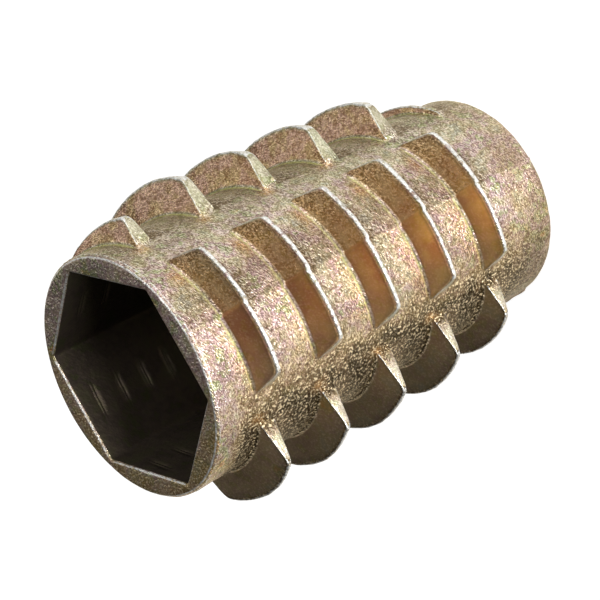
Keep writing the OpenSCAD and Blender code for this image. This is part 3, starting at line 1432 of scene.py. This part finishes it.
# --------------------------------------------------------------------------- the insert
@dataclass
class CastSurface:
    """What casting and handling left on the skin, and where shade is painted on it, worked out
    for each point of the mesh.
    """

    mesh: bpy.types.Mesh
    barrel: Barrel
    slides: Slides
    socket: KeySocket
    waves: tuple = ((0.016, 1.6, 3.0), (0.010, 0.45, 11.0), (0.008, 0.22, 23.0))
    skin_radius: tuple = (4.0, 4.25)
    inside_share: float = 0.3
    crest_roughness: float = 0.012
    flash_least: float = 0.35
    flash_more: float = 2.5
    nick_angle: float = 20.0
    nick_width: float = 2.0
    nick_depth: float = 0.11
    face_strip: float = 0.1
    rim_strip: tuple = (0.02, 0.15)
    worn_bend: tuple = (0.03, 0.1)
    # painted shade towards the tip
    tip_shade: float = 0.25
    # painted shade on the rim's face, away from the olive side
    rim_shade: float = 0.45
    rubbed_angle: float = 15.0
    rubbed_share: float = 0.65

    def __post_init__(self) -> None:
        """Reads the mesh and works out where each point is."""
        self.points = read_vectors(self.mesh.vertices, "co") / MM
        self.normals = read_vectors(self.mesh.vertex_normals, "vector")
        self.radius = np.hypot(self.points[:, 0], self.points[:, 1])
        self.theta = np.degrees(np.arctan2(self.points[:, 1], self.points[:, 0]))
        self.height = self.points[:, 2]
        self.depth = self.barrel.length - self.height
        self.outside = smooth_step(*self.skin_radius, self.radius)
        self.flank = read_attribute(self.mesh, Mark.FLANK.name.lower())
        self.crest = read_attribute(self.mesh, Mark.CREST.name.lower())

    def relief(self) -> np.ndarray:
        """Adds up waves and grain, flash, worn crests and the nick.

        Returns:
            How far each point stands out.
        """
        shift = sum(depth * grain_field(self.points, size, seed) for depth, size, seed in self.waves)
        shift = shift * (self.outside + self.inside_share * (1 - self.outside))
        jagged = self.crest_roughness * grain_field(self.points, 0.35, 41.0) * self.crest
        return shift + self._flash() + jagged - self._nick()

    def _flash(self) -> np.ndarray:
        """Raises the flash on the parting lines, broken off here and there.

        Returns:
            Its height at each point.
        """
        squeezed = self.points * np.array([0.2, 0.2, 1.0])
        broken = smooth_step(-0.45, 0.25, grain_field(squeezed, 0.7, 31.0))
        flash = self.slides.flash_height * self.slides.flash(self.theta)
        flash = flash * (self.flash_least + (1.0 - self.flash_least) * broken) * (1.0 - self.flank)
        flash = flash * (1.0 + self.flash_more * smooth_step(2.8, 1.6, self.height))
        return flash * smooth_step(4.3, 4.4, self.radius)

    def _nick(self) -> np.ndarray:
        """Sinks the nick into the rim.

        Returns:
            Its depth at each point.
        """
        away = wrap_angle(self.theta - self.nick_angle, TURN) / self.nick_width
        nick = self.nick_depth * np.exp(-(away**2)) * smooth_step(0.35, 0.1, self.depth)
        return nick * smooth_step(4.55, 4.7, self.radius)

    def worn(self) -> np.ndarray:
        """Finds the sharp outer edges.

        Returns:
            1 on them, and 0 in the hollows and on level skin.
        """
        ends = np.empty(len(self.mesh.edges) * 2, int)
        self.mesh.edges.foreach_get("vertices", ends)
        a, b = ends.reshape(-1, 2).T
        way = self.points[b] - self.points[a]
        way = way / np.maximum(np.linalg.norm(way, axis=1), 1e-4)[:, None]
        # The mean direction to a point's neighbours leans away from the normal on an edge.
        pull = np.zeros_like(self.points)
        reach = np.zeros(len(self.points))
        for end, sign in ((a, 1.0), (b, -1.0)):
            np.add.at(pull, end, sign * way)
            np.add.at(reach, end, 1.0)
        bend = -(pull * self.normals).sum(1) / np.maximum(reach, 1)
        # Inside the socket and the bore only the mouth is worn.
        within = self.radius < np.where(self.depth < self.socket.depth + 0.5, 4.75, 4.2)
        worn = smooth_step(*self.worn_bend, bend) * (1.0 - 0.9 * self.flank)
        return worn * np.where(within, smooth_step(0.35, 0.15, self.depth), 1.0)

    def film(self) -> dict[str, np.ndarray]:
        """Works out what the finishes need to know about each point.

        Returns:
            Values by name: how coarse the skin is, with painted shade beside the parting lines;
            the painted shade on the low side and towards the tip; the olive side, which is partly
            painted shade; the rim's face; and the worn edges.
        """
        theta, depth = self.theta, self.depth
        rim = self.outside * smooth_step(*reversed(self.rim_strip), depth)
        skin = self.outside * smooth_step(*self.rim_strip, depth)
        green = self.slides.green(theta)
        tone = self.slides.tone(theta) * (1.0 - self.flank) + self.slides.flank_tone(theta) * self.flank
        # Painted shade on the low side, less near the key end and more towards the tip.
        painted_shade = self.slides.painted_shade(theta) * (1.0 - 0.7 * smooth_step(1.8, 0.8, depth))
        spent = self.tip_shade + 0.3 * smooth_step(25.0, -25.0, theta) * (theta > -150.0)
        painted_shade = np.maximum(painted_shade, spent * smooth_step(16.8, 18.0, depth))
        rubbed = smooth_step(60.0, 20.0, np.abs(theta - self.rubbed_angle))
        return {
            "tone": tone * skin,
            # The rim's face takes painted shade too, away from the olive side.
            "painted_shade": painted_shade * skin + self.rim_shade * (1.0 - green) * (1.0 - rubbed) * rim,
            "green": green * skin,
            "rim": rim * (1.0 - self.rubbed_share * rubbed),
            "edge": self.worn(),
        }

    def apply(self) -> None:
        """Moves the mesh's points by the relief, but not on the end faces, and adds the values."""
        nearest = np.minimum(self.height, self.depth) / self.face_strip
        relief = self.relief() * np.clip(nearest, 0.0, 1.0)
        for name, values in self.film().items():
            write_attribute(self.mesh, name, values)
        points = self.points + self.normals * relief[:, None]
        self.mesh.vertices.foreach_set("co", (points * MM).ravel())
        self.mesh.update()


@dataclass
class CastInsert:
    """The insert itself: barrel, fins, socket and bore as one closed casting."""

    barrel: Barrel = field(default_factory=Barrel)
    slides: Slides = field(default_factory=Slides)
    socket: KeySocket = field(default_factory=KeySocket)
    screw: ScrewThread = field(default_factory=ScrewThread)
    lead_in: float = 0.6
    tip_sink: float = 0.3
    inner_columns: int = 132
    round_lines: int = 4
    tip_lines: int = 6
    face_lines: int = 3

    def __post_init__(self) -> None:
        """Makes the outer thread round the barrel, and places the columns of both skins."""
        self.thread = KnifeThread(self.barrel, self.slides)
        self.outer_turns = self.thread.turns()
        at = np.linspace(0.0, TURN, 10 * 360 + 1)
        from_corner = np.abs(wrap_angle(-at - FLAT / 2.0, FLAT))
        density = 0.6 + 1.6 * np.exp(-((from_corner / 2.5) ** 2))
        self.inner_turns = spread(density, at, self.inner_columns)

    def build(self) -> bpy.types.Object:
        """Builds the casting's mesh.

        Returns:
            Its object.
        """
        parts = MeshParts()
        outer = self._outer_skin(parts)
        socket, bore = self._inner_skin(parts)
        self._key_end(parts, outer[0], socket[0])
        self._seat(parts, socket[1], bore[0])
        self._tip(parts, outer[1], bore[1])
        mesh = parts.to_mesh("insert_casting", self.barrel.length)
        CastSurface(mesh, self.barrel, self.slides, self.socket).apply()
        piece = bpy.data.objects.new("insert_casting", mesh)
        bpy.context.scene.collection.objects.link(piece)
        return piece

    def _outer_skin(self, parts: MeshParts) -> Rings:
        """Adds the barrel's outside with its fins.

        Args:
            parts: the mesh being made.

        Returns:
            Its rings where the end roundings begin.
        """
        low, high = self.barrel.rim_round, self.barrel.length - self.barrel.tip_round
        radius = self.barrel.radius_at(np.array([low, high]))
        rings = (parts.add_ring(-self.outer_turns, radius[0], low),
                 parts.add_ring(-self.outer_turns, radius[1], high))
        wraps = whole_turns(low, high, self.thread.start, self.thread.pitch)
        depth, height, marks = self.thread.section(self.outer_turns[None, :] + TURN * wraps[:, None])
        section = np.stack([depth, self.barrel.radius_at(depth) + height], -1)
        parts.add_helix(self.outer_turns, section, low, high, rings, marks)
        return rings

    def _inner_skin(self, parts: MeshParts) -> tuple[Rings, Rings]:
        """Adds the socket's walls and the bore.

        Args:
            parts: the mesh being made.

        Returns:
            The rings at the beginning and end of the socket, and those of the bore.
        """
        screw = self.screw
        parts.finish = Finish.SOCKET
        hexagon = self.socket.radius_at(-self.inner_turns)
        lines = np.array(screw.scratch_lines)
        radius = np.maximum(hexagon[:, None], screw.scratched(lines))
        socket = self._tapped(parts, hexagon, lines, radius, self.socket.mouth, self.socket.depth)
        parts.finish = Finish.TAPPED
        lines = screw.bore_lines()
        bore = self._tapped(parts, screw.minor, lines, screw.threaded(lines),
                            self.socket.depth + self.lead_in, self.barrel.length - self.tip_sink)
        return socket, bore

    def _tapped(self, parts: MeshParts, wall: np.ndarray | float, lines: np.ndarray,
                radius: np.ndarray, low: float, high: float) -> Rings:
        """Adds a wall that the tap has passed through.

        Args:
            parts: the mesh being made.
            wall: radius of the wall where it begins and ends.
            lines: the lines' places from a groove's middle, rising, within one pitch.
            radius: radius at each line, or for each column at each line.
            low: depth at which the wall begins.
            high: depth at which it ends.

        Returns:
            The rings at the wall's beginning and end.
        """
        theta = -self.inner_turns
        rings = (parts.add_ring(theta, wall, low), parts.add_ring(theta, wall, high))
        wraps = whole_turns(low, high, self.screw.start, self.screw.pitch)
        turn = self.inner_turns[None, :] + TURN * wraps[:, None]
        depth = self.screw.start + self.screw.pitch * turn[..., None] / TURN + lines
        section = np.stack([depth, np.broadcast_to(radius, depth.shape)], -1)
        parts.add_helix(self.inner_turns, section, low, high, rings)
        return rings

    def _key_end(self, parts: MeshParts, ring: np.ndarray, socket: np.ndarray) -> None:
        """Adds the rim's rounding, the face at the key end and the socket's broken mouth.

        Args:
            parts: the mesh being made.
            ring: the outer skin's first ring.
            socket: the socket's first ring.
        """
        theta = -self.inner_turns
        rim, lip = self.barrel.rim_round, self.socket.mouth
        hexagon = self.socket.radius_at(theta)
        parts.finish = Finish.CAST
        for inward, upward in quarter_round(self.round_lines):
            ring = parts.add_next(ring, -self.outer_turns, self.barrel.radius - rim * inward,
                                  rim * upward)
        flat = self.barrel.radius - rim
        shares = (np.arange(self.face_lines + 1) + 1) / (self.face_lines + 1)
        inner = parts.add_ring(theta, flat + (hexagon + lip - flat) * shares[0], 0.0)
        parts.zip_rings(ring, self.outer_turns, inner, self.inner_turns)
        for share in shares[1:]:
            inner = parts.add_next(inner, theta, flat + (hexagon + lip - flat) * share, 0.0)
        for downward, outward in quarter_round(self.round_lines)[:-1]:
            inner = parts.add_next(inner, theta, hexagon + lip * outward, lip * downward)
        parts.bridge(inner, socket)

    def _seat(self, parts: MeshParts, socket: np.ndarray, bore: np.ndarray) -> None:
        """Adds the socket's floor and the cone that leads into the bore.

        Args:
            parts: the mesh being made.
            socket: the socket's last ring.
            bore: the bore's first ring.
        """
        parts.finish = Finish.SOCKET
        seat = parts.add_next(socket, -self.inner_turns, self.screw.minor + self.lead_in,
                              self.socket.depth)
        parts.bridge(seat, bore)

    def _tip(self, parts: MeshParts, ring: np.ndarray, bore: np.ndarray) -> None:
        """Adds the tip's rounding, its face and the countersink.

        Args:
            parts: the mesh being made.
            ring: the outer skin's last ring.
            bore: the bore's last ring.
        """
        length, tip = self.barrel.length, self.barrel.tip_round
        edge = float(self.barrel.radius_at(np.array(length - tip)))
        parts.finish = Finish.CAST
        for inward, upward in quarter_round(self.tip_lines):
            ring = parts.add_next(ring, -self.outer_turns, edge - tip * inward, length - tip * upward)
        sink = parts.add_ring(-self.inner_turns, self.screw.minor + self.tip_sink, length)
        parts.zip_rings(ring, self.outer_turns, sink, self.inner_turns)
        parts.finish = Finish.TAPPED
        parts.bridge(sink, bore)

    def dress(self, piece: bpy.types.Object) -> None:
        """Gives the casting its finishes, in the order of Finish.

        Args:
            piece: the casting's object.
        """
        groups = SurfaceGroups()
        for finish in (CastSkin(), SocketWall(), TappedWall()):
            piece.data.materials.append(finish.material(groups))
        piece.data.shade_smooth()


# --------------------------------------------------------------------------- stage
@dataclass
class Viewpoint:
    """Where the camera stands, round a point on the insert's axis."""

    azimuth: float = -3.026
    elevation: float = 36.26
    roll: float = -117.69
    distance: float = 108.86
    aim: tuple = (-0.022, -0.420, 10.657)
    lens: float = 163.08

    def place(self) -> None:
        """Makes the scene's camera."""
        data = bpy.data.cameras.new("camera")
        data.sensor_fit = "HORIZONTAL"
        data.sensor_width = 36.0
        data.lens = self.lens
        data.clip_start, data.clip_end = 0.005, 10.0
        back = direction(self.azimuth, self.elevation)
        level = (-back).cross(Vector((0, 0, 1))).normalized()
        above = level.cross(-back)
        roll = math.radians(self.roll)
        right = math.cos(roll) * level + math.sin(roll) * above
        up = back.cross(right)
        where = (Vector(self.aim) + back * self.distance) * MM
        camera = bpy.data.objects.new("camera", data)
        turn = Matrix((right, up, back)).transposed()
        camera.matrix_world = Matrix.Translation(where) @ turn.to_4x4()
        bpy.context.scene.collection.objects.link(camera)
        bpy.context.scene.camera = camera


@dataclass
class SoftLamp:
    """A square soft box aimed at the middle of the insert."""

    name: str
    azimuth: float
    elevation: float
    size: float
    power: float
    distance: float = 220.0
    aim: tuple = (0.0, 0.0, 9.8)

    def place(self) -> None:
        """Makes the lamp."""
        data = bpy.data.lights.new(self.name, "AREA")
        data.shape = "SQUARE"
        data.size = self.size * MM
        data.energy = self.power
        way = direction(self.azimuth, self.elevation)
        lamp = bpy.data.objects.new(self.name, data)
        lamp.location = (way * self.distance + Vector(self.aim)) * MM
        lamp.rotation_mode = "QUATERNION"
        lamp.rotation_quaternion = (-way).to_track_quat("-Z", "Y")
        lamp.visible_camera = False
        bpy.context.scene.collection.objects.link(lamp)


@dataclass
class Studio:
    """A pale floor, a soft world and the lamps."""

    floor_size: float = 3000.0
    floor_colour: Colour = (0.5, 0.5, 0.5)
    floor_glow: float = 0.86
    world_glow: float = 0.07
    lamps: tuple = (
        SoftLamp("key", azimuth=58, elevation=42, size=200, power=0.26),
        SoftLamp("low", azimuth=-26, elevation=6, size=80, power=0.56),
        SoftLamp("back", azimuth=140, elevation=30, size=120, power=0.05),
        SoftLamp("front", azimuth=20, elevation=24, size=300, power=0.24),
    )

    def build(self) -> None:
        """Makes the floor, the world and the lamps."""
        bpy.context.scene.view_settings.view_transform = "Standard"
        self._floor()
        world = bpy.data.worlds.new("world")
        world.use_nodes = True
        NodeSheet(world.node_tree).fill(world.node_tree.nodes["Background"], {
            "Color": (1.0, 1.0, 1.0), "Strength": self.world_glow,
        })
        bpy.context.scene.world = world
        for lamp in self.lamps:
            lamp.place()

    def _floor(self) -> None:
        """Makes the floor, which glows for the camera and in mirrors but lights nothing."""
        half = self.floor_size / 2 * MM
        corners = [(-half, -half, 0), (half, -half, 0), (half, half, 0), (-half, half, 0)]
        mesh = bpy.data.meshes.new("floor")
        mesh.from_pydata(corners, [], [(0, 1, 2, 3)])
        floor = bpy.data.objects.new("floor", mesh)
        bpy.context.scene.collection.objects.link(floor)
        material, sheet, shader = start_material("floor")
        path = sheet.add("LightPath").outputs
        seen = sheet.most(path["Is Glossy Ray"], path["Is Transmission Ray"])
        seen = sheet.most(path["Is Camera Ray"], seen)
        sheet.fill(shader, {
            "Base Color": self.floor_colour, "Roughness": 0.9, "Emission Color": (1.0, 1.0, 1.0),
            "Emission Strength": sheet.times(seen, self.floor_glow),
        })
        mesh.materials.append(material)


def main() -> None:
    """Builds the insert, the studio and the camera in order."""
    logging.basicConfig(level=logging.INFO, format="%(message)s")
    insert = CastInsert()
    piece = insert.build()
    insert.dress(piece)
    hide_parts("insert")
    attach(piece, "root")
    triangles = sum(len(face.vertices) - 2 for face in piece.data.polygons)
    log.info("%s: %d points, %d triangles", piece.name, len(piece.data.vertices), triangles)
    Studio().build()
    log.info("studio: floor and lamps")
    Viewpoint().place()
    log.info("camera placed")


if __name__ == "__main__":
    main()
